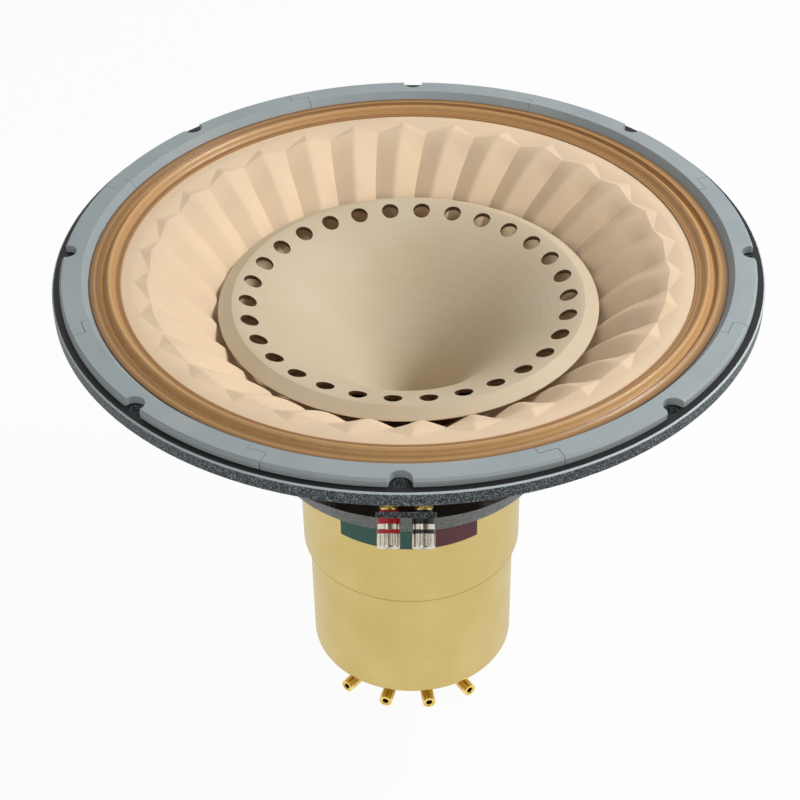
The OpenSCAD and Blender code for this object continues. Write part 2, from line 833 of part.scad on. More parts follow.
module tweeter_dome() {
    wide = 4 * dome_r;
    color("silver") translate([0, 0, dome_centre_z]) difference() {
        sphere(r = dome_curve_r);
        sphere(r = dome_curve_r - foil_t);
        translate([-wide / 2, -wide / 2, dome_z - dome_centre_z]) cube(wide);
    }
}

module tweeter_coil() {
    color("darkgoldenrod") ring(dome_r + coil_t, dome_r, dome_z - foil_t, dome_z + coil_h);
}

module tweeter_surround() {
    steps = 10;
    start = dome_r + coil_t + 0.1;
    top = [
        for (k = [0:steps]) let (t = k / steps)
            [start + (roll_r - start) * t, dome_z + (gap_z - dome_z) * t - 0.9 * sin(180 * t)],
        [lip_r, gap_z]
    ];
    color("tan") rotate_extrude() polygon([
        for (p = top) p,
        for (i = [1:len(top)]) top[len(top) - i] - [0, foil_t]
    ]);
}

module tweeter_clamp_ring() {
    color("gray") ring(lip_r, roll_r + 0.5, gap_z - foil_t - clamp_t, gap_z - foil_t);
}

module tweeter_back_cover() {
    step_z = gap_z - foil_t - clamp_t;
    floor_z = back_z + back_floor_t;
    color("silver") difference() {
        union() {
            rotate_extrude() polygon([
                [0, back_z], [back_cover_d / 2, back_z], [back_cover_d / 2, gap_z],
                [lip_r + slip, gap_z], [lip_r + slip, step_z], [lip_r - 4, step_z],
                [lip_r - 4, floor_z], [0, floor_z]
            ]);
            at_pillars() rod(pillar_r, lower_z + cover_wall, back_z + eps);
        }
        at_pillars() rod(cap_screw_r, lower_z, back_z - 4);
        at_back_screws() rod(screw_r, back_z - 1, gap_z + 1);
    }
}

module tweeter_screws() {
    color("silver") at_back_screws() {
        rod(screw_r, back_z - eps, gap_z + 4);
        rod(screw_head_r, back_z - 2.4, back_z);
    }
}

module at_back_screws() {
    around(4, 45) translate([back_screw_r, 0, 0]) children();
}

module at_pillars() {
    around(3, 90) translate([pillar_reach, 0, 0]) children();
}

// Rear cap with its four terminals
module rear_cap() {
    inner = cap_r - cap_wall;
    boss_top = cap_z + head_sink + 2;
    color("darkkhaki") difference() {
        union() {
            rotate_extrude() polygon([
                [0, cap_z], [cap_r - 1, cap_z], [cap_r, cap_z + 1], [cap_r, lower_z],
                [inner, lower_z], [inner, cap_floor_z], [0, cap_floor_z]
            ]);
            at_pillars() rod(screw_head_r + 2, cap_z + 1, boss_top);
        }
        for (i = [1:4]) at_rear_post(i) rod(rear_bush_r + running, inner - 1, cap_r + 2);
        at_pillars() {
            rod(cap_screw_r + 0.1, cap_z - 1, boss_top + 1);
            rod(screw_head_r + 0.2, cap_z - 1, cap_z + head_sink);
        }
    }
}

module rear_cap_screws() {
    color("silver") at_pillars() {
        rod(cap_screw_r, cap_z + head_sink - eps, back_z - 5);
        rod(screw_head_r, cap_z + 0.4, cap_z + head_sink);
    }
}

module at_rear_post(i) {
    translate([0, 0, rear_post_z]) rotate(rear_post_turn - 90 + (i - 2.5) * rear_post_step)
        rotate([0, 90, 0]) children();
}

module rear_studs() {
    outer = rear_reach - 0.4;
    seat = cap_r - cap_wall - rear_wall_gap - rear_washer_t;
    color("gold") for (i = [1:4]) at_rear_post(i) {
        difference() {
            rod(rear_stud_r, seat - 5, outer);
            rod(socket_d / 2, outer - socket_l, outer + 1);
        }
        difference() {
            translate([0, 0, seat - 2.6]) cylinder(r = rear_washer_r, h = 2.6, $fn = 6);
            rod(rear_stud_r, seat - 4, seat + 1);
        }
    }
}

module rear_insulators() {
    inner = cap_r - cap_wall - rear_wall_gap;
    color("ivory") for (i = [1:4]) at_rear_post(i) {
        ring(rear_bush_r, rear_stud_r, inner, cap_r + eps);
        ring(rear_washer_r, rear_stud_r, cap_r, cap_r + rear_washer_t);
        ring(rear_washer_r, rear_stud_r, inner - rear_washer_t, inner);
    }
}

module rear_ring(i) {
    color("goldenrod") at_rear_post(i)
        ring(rear_knob_d / 2, rear_stud_r + running, rear_ring_low, rear_ring_low + rear_ring_l);
}

module rear_knob(i) {
    r = rear_knob_d / 2;
    color("gold") at_rear_post(i) difference() {
        ring(r, rear_stud_r + running, rear_knob_low, rear_reach);
        around(rear_flutes) translate([r + 0.1, 0, 0])
            rod(rear_flute_r, rear_knob_low + 1.5, rear_reach - 2.5);
    }
}

// Front terminals; the red one stands to the left of the front
module at_post(side) {
    at_tab() translate([side * post_pitch / 2, 0, 0]) children();
}

module at_posts() {
    for (side = [-1, 1]) at_post(side) children();
}

module terminal_studs() {
    end = knob_z + 0.3;
    color("silver") at_posts() difference() {
        union() {
            rod(stud_r, end, lug_z + lug_t + nut_t + 1.5);
            rod(post_r - 0.4, post_band_z, -collar_h);
        }
        rod(socket_d / 2, end - 1, end + socket_l);
        translate([-stud_r - 1, 0, post_band_z - 1.8]) rotate([0, 90, 0])
            cylinder(r = 1.2, h = 2 * stud_r + 2);
    }
}

module insulators(side) {
    at_post(side) {
        ring(post_r, stud_r, -collar_h, 0);
        ring(barrel_r, stud_r, -eps, tab_t);
        ring(washer_r, stud_r, tab_t, lug_z);
    }
}

module red_insulators() {
    color("firebrick") insulators(-1);
}

module black_insulators() {
    color("black") insulators(1);
}

module terminal_nuts() {
    color("gold") at_posts() difference() {
        translate([0, 0, lug_z + lug_t]) cylinder(r = nut_w / 2 / cos(30), h = nut_t, $fn = 6);
        rod(stud_r, lug_z, lug_z + lug_t + nut_t + 1);
    }
}

module solder_lugs() {
    color("gold") at_posts() difference() {
        union() {
            rod(washer_r - 0.4, lug_z, lug_z + lug_t);
            translate([-2, 0, lug_z]) cube([4, lug_l, lug_t]);
        }
        rod(stud_r, lug_z - 1, lug_z + lug_t + 1);
        translate([0, lug_l - 2, 0]) rod(0.9, lug_z - 1, lug_z + lug_t + 1);
    }
}

module post_ring(side) {
    at_post(side) ring(post_r, stud_r + running, ring_z, ring_z + ring_h);
}

module red_ring() {
    color("firebrick") post_ring(-1);
}

module black_ring() {
    color("black") post_ring(1);
}

module post_knob(side) {
    r = post_r - 0.1;
    color("silver") at_post(side) difference() {
        rotate_extrude() polygon([
            [stud_r + running, knob_z], [r - 1.2, knob_z], [r - 0.35, knob_z + 0.35],
            [r, knob_z + 1.2], [r, knob_z + knob_l], [stud_r + running, knob_z + knob_l]
        ]);
        around(flutes) translate([r + 0.3, 0, 0]) rod(flute_r, knob_z + 2, knob_z + knob_l + 1);
    }
}

module red_knob() {
    post_knob(-1);
}

module black_knob() {
    post_knob(1);
}

basket();
basket_screws();
for (i = [1:bolts]) front_gasket(i);
surround();
cone();
spider();
woofer_former();
woofer_winding();
tinsel_lead_red();
tinsel_lead_black();
horn();
throat_tube();
woofer_top_plate();
woofer_pole();
woofer_magnet();
woofer_yoke();
upper_cover();
green_band();
maroon_band();
tweeter_front_plate();
tweeter_magnet();
tweeter_pole();
phase_plug();
tweeter_gap_plate();
tweeter_dome();
tweeter_coil();
tweeter_surround();
tweeter_clamp_ring();
tweeter_back_cover();
tweeter_screws();
lower_cover();
rear_cap();
rear_cap_screws();
terminal_studs();
red_insulators();
black_insulators();
terminal_nuts();
solder_lugs();
red_ring();
black_ring();
red_knob();
black_knob();
rear_studs();
rear_insulators();
for (i = [1:4]) rear_ring(i);
for (i = [1:4]) rear_knob(i);
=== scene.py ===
import math

import bpy
import numpy as np
from mathutils import Matrix, Vector


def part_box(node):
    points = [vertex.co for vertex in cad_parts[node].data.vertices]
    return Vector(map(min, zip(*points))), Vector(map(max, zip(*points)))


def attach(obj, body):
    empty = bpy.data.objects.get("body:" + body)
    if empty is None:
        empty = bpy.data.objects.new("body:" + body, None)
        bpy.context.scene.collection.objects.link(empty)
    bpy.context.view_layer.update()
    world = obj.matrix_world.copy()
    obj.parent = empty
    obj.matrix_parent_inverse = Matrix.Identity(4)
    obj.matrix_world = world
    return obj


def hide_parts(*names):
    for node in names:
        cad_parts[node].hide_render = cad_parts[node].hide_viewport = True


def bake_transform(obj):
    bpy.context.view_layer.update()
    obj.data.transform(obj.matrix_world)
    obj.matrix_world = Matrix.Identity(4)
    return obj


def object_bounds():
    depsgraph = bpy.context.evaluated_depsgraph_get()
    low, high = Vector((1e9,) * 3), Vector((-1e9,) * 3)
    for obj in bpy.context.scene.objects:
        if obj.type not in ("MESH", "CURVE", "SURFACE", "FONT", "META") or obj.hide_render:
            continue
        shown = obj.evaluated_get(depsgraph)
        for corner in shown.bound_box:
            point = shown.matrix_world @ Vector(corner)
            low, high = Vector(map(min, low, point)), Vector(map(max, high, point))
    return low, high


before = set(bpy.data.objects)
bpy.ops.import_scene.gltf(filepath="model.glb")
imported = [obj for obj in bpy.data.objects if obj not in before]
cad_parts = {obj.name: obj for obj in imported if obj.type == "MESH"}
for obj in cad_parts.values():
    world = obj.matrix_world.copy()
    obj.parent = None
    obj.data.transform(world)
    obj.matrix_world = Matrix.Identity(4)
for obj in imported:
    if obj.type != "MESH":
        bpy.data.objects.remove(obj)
cad_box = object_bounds()

# Frame
# The frame is one aluminium casting. Its machined front ring is sprayed black and its cast
# sides have a grey hammered enamel, which shrinks into light speckles on a dark ground.
speckle_size = 0.0009
dimple_depth = 0.00012
enamel_dark = (28, 36, 40)
enamel_grey = (58, 70, 75)
enamel_speck = (150, 160, 163)
enamel_glint = (196, 204, 206)
ring_black = (8, 11, 13)
# Light grey of the painted highlight on the frame's edges.
edge_highlight_colour = (196, 206, 208)
machined_lean = 0.8
turned_edge_r = 0.194
turned_edge_lean = 0.62


def screen(colour):
    """The light of a colour that is given as a screen shows it, from 0 to 255."""
    return tuple(((c / 255 + 0.055) / 1.055) ** 2.4 for c in colour)


def new_finish(name, colour, roughness, metal=0.0, coat=0.0):
    """A finish of one shader. Its grain and its shades are added to it."""
    made = bpy.data.materials.new(name)
    made.use_nodes = True
    shader = made.node_tree.nodes["Principled BSDF"]
    shader.inputs["Base Color"].default_value = (*screen(colour), 1)
    shader.inputs["Roughness"].default_value = roughness
    shader.inputs["Metallic"].default_value = metal
    shader.inputs["Coat Weight"].default_value = coat
    return made


def add(finish, kind, sockets, **settings):
    """One more node in a finish, with values or other nodes' outputs in its sockets."""
    made = finish.node_tree.nodes.new("ShaderNode" + kind)
    for name, value in settings.items():
        setattr(made, name, value)
    for socket, value in sockets.items():
        if isinstance(value, bpy.types.NodeSocket):
            finish.node_tree.links.new(value, made.inputs[socket])
        else:
            made.inputs[socket].default_value = value
    return made.outputs


def work(finish, operation, first, second=0.0, third=0.0):
    """The result of one operation on up to three numbers, kept from 0 to 1 if it ends in a 1."""
    clamped = operation.endswith("1")
    sockets = {0: first, 1: second, 2: third}
    return add(finish, "Math", sockets, operation=operation.rstrip("1"), use_clamp=clamped)[0]


def place_of(finish):
    """Where a point lies on the speaker, in metres."""
    return add(finish, "TexCoord", {})["Object"]


def reach_of(finish):
    """How far a point lies from the speaker's axis, in metres."""
    spot = add(finish, "SeparateXYZ", {0: place_of(finish)})
    squares = work(finish, "MULTIPLY_ADD", spot["Y"], spot["Y"],
                   work(finish, "MULTIPLY", spot["X"], spot["X"]))
    return work(finish, "SQRT", squares)


def upward(finish):
    """How far a surface looks up, from -1 to 1."""
    return add(finish, "SeparateXYZ", {0: add(finish, "NewGeometry", {})["Normal"]})["Z"]


def noise(finish, size, detail=2.0, place=None, rough=0.5):
    """A soft random pattern from 0 to 1 whose blots are about size metres wide."""
    place = place or place_of(finish)
    sockets = {"Vector": place, "Scale": 1 / size, "Detail": detail, "Roughness": rough}
    return add(finish, "TexNoise", sockets)[0]


def shades(finish, amount, stops):
    """Colours for an amount from 0 to 1. Each stop is an amount and its colour."""
    scale = add(finish, "ValToRGB", {"Fac": amount})
    ramp = scale[0].node.color_ramp
    for element, stop in zip(ramp.elements, (stops[0], stops[-1])):
        element.position = stop[0]
        element.color = (*screen(stop[1]), 1)
    for stop in stops[1:-1]:
        ramp.elements.new(stop[0]).color = (*screen(stop[1]), 1)
    return scale[0]


def blended(finish, amount, first, second):
    """The first colour where the amount is 0, the second where it is 1."""
    sides = [c if isinstance(c, bpy.types.NodeSocket) else (*screen(c), 1)
             for c in (first, second)]
    return add(finish, "Mix", {0: amount, 6: sides[0], 7: sides[1]}, data_type="RGBA")[2]


def relief(finish, height, depth, under=None):
    """A surface whose height pattern is that many metres deep, on another relief or none."""
    sockets = {"Height": height, "Distance": depth}
    if under:
        sockets["Normal"] = under
    return add(finish, "Bump", sockets)[0]


def put(finish, socket, value):
    """The shader takes a socket from another node."""
    shader = finish.node_tree.nodes["Principled BSDF"]
    finish.node_tree.links.new(value, shader.inputs[socket])


def tinted(finish, size, stops, detail=2.0):
    """The colour drifts between a few shades in soft blots of that size."""
    put(finish, "Base Color", shades(finish, noise(finish, size, detail), stops))


def grained(finish, size, depth):
    """The surface has a fine grain of that size and depth."""
    put(finish, "Normal", relief(finish, noise(finish, size), depth))


# Edge mask: real rubbing on the printed bands, a painted highlight on the other finishes.
def edge_wear_and_highlight(finish, reach):
    """How much of an edge a point is, from 0 on a face to 1 on an edge that wide."""
    full_edge = 0.35
    face = add(finish, "NewGeometry", {})["Normal"]
    rounded = add(finish, "Bevel", {"Radius": reach}, samples=4)[0]
    likeness = add(finish, "VectorMath", {0: face, 1: rounded}, operation="DOT_PRODUCT")["Value"]
    return work(finish, "DIVIDE1", work(finish, "SUBTRACT", 1.0, likeness), full_edge)


def dress(finish, *names):
    """The finish goes on the pieces with these names."""
    for name in names:
        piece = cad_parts[name]
        if not piece.material_slots:
            piece.data.materials.append(finish)
        for slot in piece.material_slots:
            slot.material = finish


hammered = new_finish("hammered_enamel", enamel_grey, 0.5)
hammered.node_tree.nodes["Principled BSDF"].inputs["Specular IOR Level"].default_value = 0.35
blots = noise(hammered, speckle_size, 3.0, rough=0.62)
clouds = noise(hammered, 30 * speckle_size)
speckled = shades(hammered, blots, [
    (0.36, enamel_dark), (0.5, enamel_grey), (0.62, enamel_speck), (0.75, enamel_glint)])
clouded = blended(hammered, work(hammered, "MULTIPLY1", clouds, 0.35), speckled, enamel_dark)
facing = upward(hammered)
machined = work(hammered, "MULTIPLY1", work(hammered, "SUBTRACT", facing, machined_lean), 8.0)
blackened = blended(hammered, machined, clouded, ring_black)
# Painted highlight: edges and the flange's turned corner get a light grey, for light on the round
# edges.
leaning = work(hammered, "COMPARE", facing, turned_edge_lean, 0.12)
turned_corner = work(hammered, "MULTIPLY", leaning,
                     work(hammered, "GREATER_THAN", reach_of(hammered), turned_edge_r))
painted_edge_highlight = work(hammered, "MAXIMUM", work(hammered, "MULTIPLY1", edge_wear_and_highlight(hammered, 0.0004), 0.5),
                 turned_corner)
put(hammered, "Base Color", blended(hammered, painted_edge_highlight, blackened, edge_highlight_colour))
put(hammered, "Normal", relief(hammered, blots, dimple_depth))
dress(hammered, "basket")

# Woofer magnet and screws
# Top plate, pole and yoke are turned from mild steel with a clear zinc plate, and the core
# magnet between them is sintered, ground and left grey. Six screws hold them to the frame.
zinc = new_finish("zinc_plated_steel", (168, 170, 168), 0.32, metal=1.0)
turning = noise(zinc, 0.0006, 1.0, add(zinc, "Mapping", {
    "Vector": place_of(zinc), "Scale": (0.15, 0.15, 1.0)})[0])
tinted(zinc, 0.02, [
    (0.3, (150, 153, 152)), (0.5, (170, 171, 168)), (0.7, (182, 180, 170))], 3.0)
put(zinc, "Roughness", work(zinc, "MULTIPLY_ADD", turning, 0.2, 0.22))
put(zinc, "Normal", relief(zinc, turning, 0.00003))
dress(zinc, "woofer_top_plate", "woofer_pole", "woofer_yoke", "basket_screws",
      "tweeter_front_plate", "tweeter_gap_plate", "tweeter_pole", "tweeter_screws",
      "rear_cap_screws")

magnet = new_finish("ground_magnet", (62, 63, 66), 0.55)
pores = noise(magnet, 0.0009, 4.0)
put(magnet, "Base Color", shades(magnet, pores, [
    (0.3, (44, 45, 48)), (0.55, (66, 67, 70)), (0.75, (88, 88, 90))]))
put(magnet, "Normal", relief(magnet, pores, 0.00005))
dress(magnet, "woofer_magnet", "tweeter_magnet")

# Spider
# The spider is a disc of cotton cloth, stiffened with resin and pressed into ring waves. Its
# edge is glued to the frame's ledge and its collar to the voice coil former.
spider_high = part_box("spider")[1]
former_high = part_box("woofer_former")[1]
glue_t = 0.00015
spider_out_r = spider_high.x
spider_in_r = former_high.x + glue_t
spider_wave_r = 0.079
spider_cloth_t = 0.0008
spider_waves = 5
spider_steps = 60
spider_wave_h = 0.0024
spider_rest_z = spider_high.z - spider_wave_h
sectors = 24


def turned(radius, angle):
    """A point at that radius and angle around the speaker's axis."""
    return radius * math.cos(angle), radius * math.sin(angle)


def shell(name, grid, normals, thickness, closed, finish):
    """A sheet of one thickness. The grid holds its upper side, row by row from outside in."""
    rows, columns = grid.shape[:2]
    under = grid - np.array([0, 0, thickness])
    points = np.concatenate([grid.reshape(-1, 3), under.reshape(-1, 3)])
    low = rows * columns
    spans = columns if closed else columns - 1
    quads, facing = [], []

    def quad(corners, side):
        quads.append(corners)
        facing.append(side)

    for j in range(rows - 1):
        for i in range(spans):
            k = (i + 1) % columns
            a, b = j * columns + i, j * columns + k
            d, c = a + columns, b + columns
            quad((a, b, c, d), "top")
            quad((a + low, d + low, c + low, b + low), "under")
    for i in range(spans):
        k = (i + 1) % columns
        a, b = i, k
        quad((a, a + low, b + low, b), "edge")
        a, b = low - columns + i, low - columns + k
        quad((a, b, b + low, a + low), "edge")
    if not closed:
        for j in range(rows - 1):
            a, d = j * columns, (j + 1) * columns
            quad((a, d, d + low, a + low), "edge")
            a, d = a + columns - 1, d + columns - 1
            quad((a, a + low, d + low, d), "edge")
    mesh = bpy.data.meshes.new(name)
    mesh.from_pydata(points.tolist(), [], quads)
    mesh.polygons.foreach_set("use_smooth", [True] * len(quads))
    if normals is not None:
        flat = normals.reshape(-1, 3)
        given = []
        for corners, side in zip(quads, facing):
            if side == "edge":
                p, q, r = (points[corners[n]] for n in (0, 1, 2))
                across = np.cross(q - p, r - q)
                across = across / (np.linalg.norm(across) or 1)
            for corner in corners:
                if side == "top":
                    given.append(flat[corner])
                elif side == "under":
                    given.append(-flat[corner - low])
                else:
                    given.append(across)
        mesh.normals_split_custom_set([tuple(n) for n in given])
    piece = bpy.data.objects.new(name, mesh)
    bpy.context.scene.collection.objects.link(piece)
    piece.data.materials.append(finish)
    return piece


def slopes(grid):
    """The upward normals of a grid, without its first and last column."""
    along = np.gradient(grid, axis=0)
    across = np.gradient(grid, axis=1)
    up = np.cross(across, along)
    up /= np.linalg.norm(up, axis=2, keepdims=True)
    up *= np.sign(up[:, :, 2:3])
    return up[:, 1:-1]


def lay_threads(piece, angles, lengths):
    """Lays threads along and around a sector, measured in metres on its surface."""
    layer = piece.data.uv_layers.new(name="threads")
    rows, columns = len(lengths), len(angles)
    mean_r = np.linalg.norm(piece.data.vertices[0].co.xy)
    for loop in piece.data.loops:
        index = loop.vertex_index % (rows * columns)
        j, i = divmod(index, columns)
        layer.data[loop.index].uv = (angles[i] * mean_r, lengths[j])


def ring_in_sectors(name, node, profile, wrinkle, thickness, finish,
                    count=sectors, steps=12):
    """A soft ring made of sectors around the axis, each following the same profile."""
    width = 2 * math.pi / count
    runs = [0.0]
    for (r0, z0), (r1, z1) in zip(profile, profile[1:]):
        runs.append(runs[-1] + math.hypot(r1 - r0, z1 - z0))
    for k in range(count):
        angles = [(k + (i - 1) / steps) * width for i in range(steps + 3)]
        grid = np.array([[(*turned(r, a), z + wrinkle(r, a)) for a in angles]
                         for r, z in profile])
        normals = slopes(grid)
        piece = shell(f"{name}_{k + 1:02d}", grid[:, 1:-1], normals, thickness, False, finish)
        lay_threads(piece, angles[1:-1], runs)
        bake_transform(piece)
        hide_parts(node)


def cloth(name, colour, dark, light, thread, depth, roughness):
    """A finish of woven threads in resin, that far apart and that deep."""
    made = new_finish(name, colour, roughness)
    along = add(made, "UVMap", {}, uv_map="threads")[0]
    parts = add(made, "SeparateXYZ", {0: along})
    turn = 2 * math.pi / thread
    warp = work(made, "SINE", work(made, "MULTIPLY", parts["X"], turn))
    weft = work(made, "SINE", work(made, "MULTIPLY", parts["Y"], turn))
    weave = work(made, "MULTIPLY_ADD", work(made, "MULTIPLY", warp, weft), 0.5, 0.5)
    soaked = noise(made, 0.006, 3.0)
    both = work(made, "ADD", work(made, "MULTIPLY", weave, 0.3),
                work(made, "MULTIPLY", soaked, 0.7))
    put(made, "Base Color", shades(made, both, [(0.32, dark), (0.5, colour), (0.68, light)]))
    put(made, "Normal", relief(made, weave, depth))
    return made


spider_cloth = cloth("resined_cotton", (176, 128, 72), (140, 96, 50), (200, 156, 98),
                     0.0011, 0.00012, 0.7)
spider_profile = [(spider_out_r, spider_rest_z)]
for step in range(spider_steps, -1, -1):
    share = step / spider_steps
    wave = 1 - math.cos(2 * math.pi * spider_waves * share)
    spider_profile.append((spider_in_r + (spider_wave_r - spider_in_r) * share,
                           spider_rest_z + spider_wave_h / 2 * wave))
ring_in_sectors("spider", "spider", spider_profile, lambda r, a: 0.0, spider_cloth_t,
                spider_cloth)

# Voice coil and leads
# A brown paper tube carries a winding of enamelled copper wire. Two leads of flat tinsel,
# braided over cotton, bring the current across from the solder lugs to the cone.
coil_paper = new_finish("coil_paper", (150, 112, 74), 0.6)
fibres = noise(coil_paper, 0.0015, 5.0)
put(coil_paper, "Base Color", shades(coil_paper, fibres, [
    (0.3, (126, 92, 58)), (0.5, (152, 114, 76)), (0.7, (172, 134, 94))]))
put(coil_paper, "Normal", relief(coil_paper, fibres, 0.00004))
dress(coil_paper, "woofer_former")

wire_pitch = 0.0004
copper = new_finish("enamelled_copper", (184, 98, 46), 0.28, metal=1.0)
height = add(copper, "SeparateXYZ", {0: place_of(copper)})["Z"]
wires = work(copper, "SINE", work(copper, "MULTIPLY", height, 2 * math.pi / wire_pitch))
tinted(copper, 0.01, [(0.3, (168, 84, 36)), (0.5, (186, 100, 48)), (0.7, (204, 120, 64))])
put(copper, "Normal", relief(copper, wires, 0.00005))
dress(copper, "woofer_winding", "tweeter_coil")

lead_r = 0.0008
lead_start = Vector((9.525, -94.959, -91.273)) / 1000
lead_end = Vector((6.6, -44.65, -81.02)) / 1000
lead_bow = [(0, 0), (0.11, 2.9), (0.3, 3), (0.5, -1.1), (0.69, -5.6), (0.85, -6),
            (0.955, -2.9), (1, 0)]
lead_steps = 12
lead_sides = 12


def curve_point(points, i, t):
    """A point on the smooth curve through all points, between the one at i and the next."""
    a, b = points[max(0, i - 1)], points[i]
    c, d = points[i + 1], points[min(len(points) - 1, i + 2)]
    return (2 * b + (c - a) * t + (2 * a - 5 * b + 4 * c - d) * t * t
            + (3 * b - a - 3 * c + d) * t ** 3) / 2


def lead(name, node, side, finish):
    """A round lead along its bow, on one side of the speaker's middle."""
    bow = [lead_start + (lead_end - lead_start) * share + Vector((0, 0, rise / 1000))
           for share, rise in lead_bow]
    line = [curve_point(bow, i, k / lead_steps)
            for i in range(len(bow) - 1) for k in range(lead_steps)] + [bow[-1]]
    points, faces, threads, run = [], [], [], 0.0
    for i, point in enumerate(line):
        along = line[min(len(line) - 1, i + 1)] - line[max(0, i - 1)]
        across = along.cross(Vector((0, 0, 1))).normalized()
        up = across.cross(along).normalized()
        if i:
            run += (point - line[i - 1]).length
        for k in range(lead_sides):
            angle = 2 * math.pi * k / lead_sides
            spot = point + lead_r * (across * math.cos(angle) + up * math.sin(angle))
            points.append((side * spot.x, spot.y, spot.z))
            threads.append((lead_r * angle, run))
    for i in range(len(line) - 1):
        for k in range(lead_sides):
            a, b = i * lead_sides + k, i * lead_sides + (k + 1) % lead_sides
            corners = (a, a + lead_sides, b + lead_sides, b)
            faces.append(corners if side > 0 else corners[::-1])
    first = tuple(range(lead_sides))
    last = tuple(len(points) - 1 - k for k in range(lead_sides))
    faces += [first, last] if side > 0 else [first[::-1], last[::-1]]
    mesh = bpy.data.meshes.new(name)
    mesh.from_pydata(points, [], faces)
    mesh.polygons.foreach_set("use_smooth", [True] * len(faces))
    layer = mesh.uv_layers.new(name="threads")
    for loop in mesh.loops:
        layer.data[loop.index].uv = threads[loop.vertex_index]
    piece = bpy.data.objects.new(name, mesh)
    bpy.context.scene.collection.objects.link(piece)
    piece.data.materials.append(finish)
    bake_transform(piece)
    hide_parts(node)


tinsel = cloth("braided_tinsel", (196, 132, 84), (150, 92, 56), (232, 178, 130),
               0.0006, 0.0001, 0.35)
tinsel.node_tree.nodes["Principled BSDF"].inputs["Metallic"].default_value = 0.8
lead("lead_red", "tinsel_lead_red", -1, tinsel)
lead("lead_black", "tinsel_lead_black", 1, tinsel)

# Cone
# The cone is pressed from cream paper pulp: a flat rim, and thirty pleats that start in a
# zigzag line and swirl a little towards the neck. Crests are soft, valleys are crisp.
cone_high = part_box("cone")[1]
cone_out_r = cone_high.x
neck_r = spider_in_r
rim_z = 0.0065
tip_r = 0.151
valley_tip_r = 0.1435
valley_row_step = 0.0006
tip_sink = 0.0025
peak_r = 0.144
peak_z = cone_high.z
peak_slope = 0.4
horn_edge_r = 0.1068
pass_z = -0.0232
neck_z = -0.0845
pleats = 30
first_ridge = math.radians(7.7)
swirl_turn = math.radians(4)
pleat_depth = 0.006
valley_run = 0.014
fade_start_r = 0.095
fade_end_r = 0.05
paper_t = 0.0012
crest_width = 0.1
bulge_w = peak_r - horn_edge_r
ridge_bend = (peak_z - pass_z - peak_slope * bulge_w) / bulge_w ** 2
ridge_slope = (pass_z - neck_z) / (horn_edge_r - neck_r)
down_side = [0, 0.04, 0.09, 0.15, 0.23, 0.34, 0.48, 0.64, 0.8, 0.92]
down_pleat = 44
row_crowding = 1.15
flat_rim_rows = [cone_out_r, 0.157, 0.1535, 0.1515]


def ridge_z(radius):
    """Height of a crest: up a little from its tip, over a bulge, then straight to the neck."""
    s = peak_r - radius
    if radius > tip_r:
        return rim_z
    if s < 0:
        return peak_z + (peak_z - rim_z) * s / (tip_r - peak_r)
    if radius > horn_edge_r:
        return peak_z - peak_slope * s - ridge_bend * s * s
    return neck_z + ridge_slope * (radius - neck_r)


def eased(first, last, share):
    """A soft step from the first value to the last one as the share goes from 0 to 1."""
    share = min(1, max(0, share))
    return first + (last - first) * (1 - math.cos(math.pi * share)) / 2


def valley_drop(radius):
    """Depth of a valley under the crests."""
    first = ridge_z(valley_tip_r) - rim_z + tip_sink
    kept = eased(0, 1, (radius - fade_end_r) / (fade_start_r - fade_end_r))
    return eased(first, pleat_depth, (valley_tip_r - radius) / valley_run) * kept


def pleat_point(radius, angle, drop):
    """A point on a crest or valley line, turned by the swirl."""
    swirl = swirl_turn * max(0, tip_r - radius) / (tip_r - horn_edge_r)
    return np.array([*turned(radius, angle + swirl), ridge_z(radius) - drop])


def softened(share):
    """How far down the side of a pleat the paper is, from its soft crest to its valley."""
    return (math.hypot(share, crest_width) - crest_width) / (
        math.hypot(1, crest_width) - crest_width)


half = math.pi / pleats
sides = [(i, u) for i in range(2 * pleats)
         for u in (down_side if i % 2 == 0 else [1] + down_side[:0:-1])]
cone_rows = []
for radius in flat_rim_rows:
    cone_rows.append([np.array([*turned(radius, first_ridge + (i + (u if i % 2 == 0 else 1 - u))
                                        * half), rim_z]) for i, u in sides])
zigzag_row = len(cone_rows)
valley_start_r = valley_tip_r - valley_row_step
lines = [(tip_r, valley_tip_r)]
for j in range(down_pleat + 1):
    share = (j / down_pleat) ** row_crowding
    lines.append((peak_r + (neck_r - peak_r) * share,
                  valley_start_r + (neck_r - valley_start_r) * share))
for crest_r, valley_r in lines:
    row = []
    for i, u in sides:
        near, far = (i, i + 1) if i % 2 == 0 else (i + 1, i)
        top = pleat_point(crest_r, first_ridge + near * half, 0)
        bottom = pleat_point(valley_r, first_ridge + far * half, valley_drop(valley_r))
        point = top + (bottom - top) * u
        if crest_r < tip_r:
            point[2] = top[2] + (bottom[2] - top[2]) * softened(u)
        row.append(point)
    cone_rows.append(row)

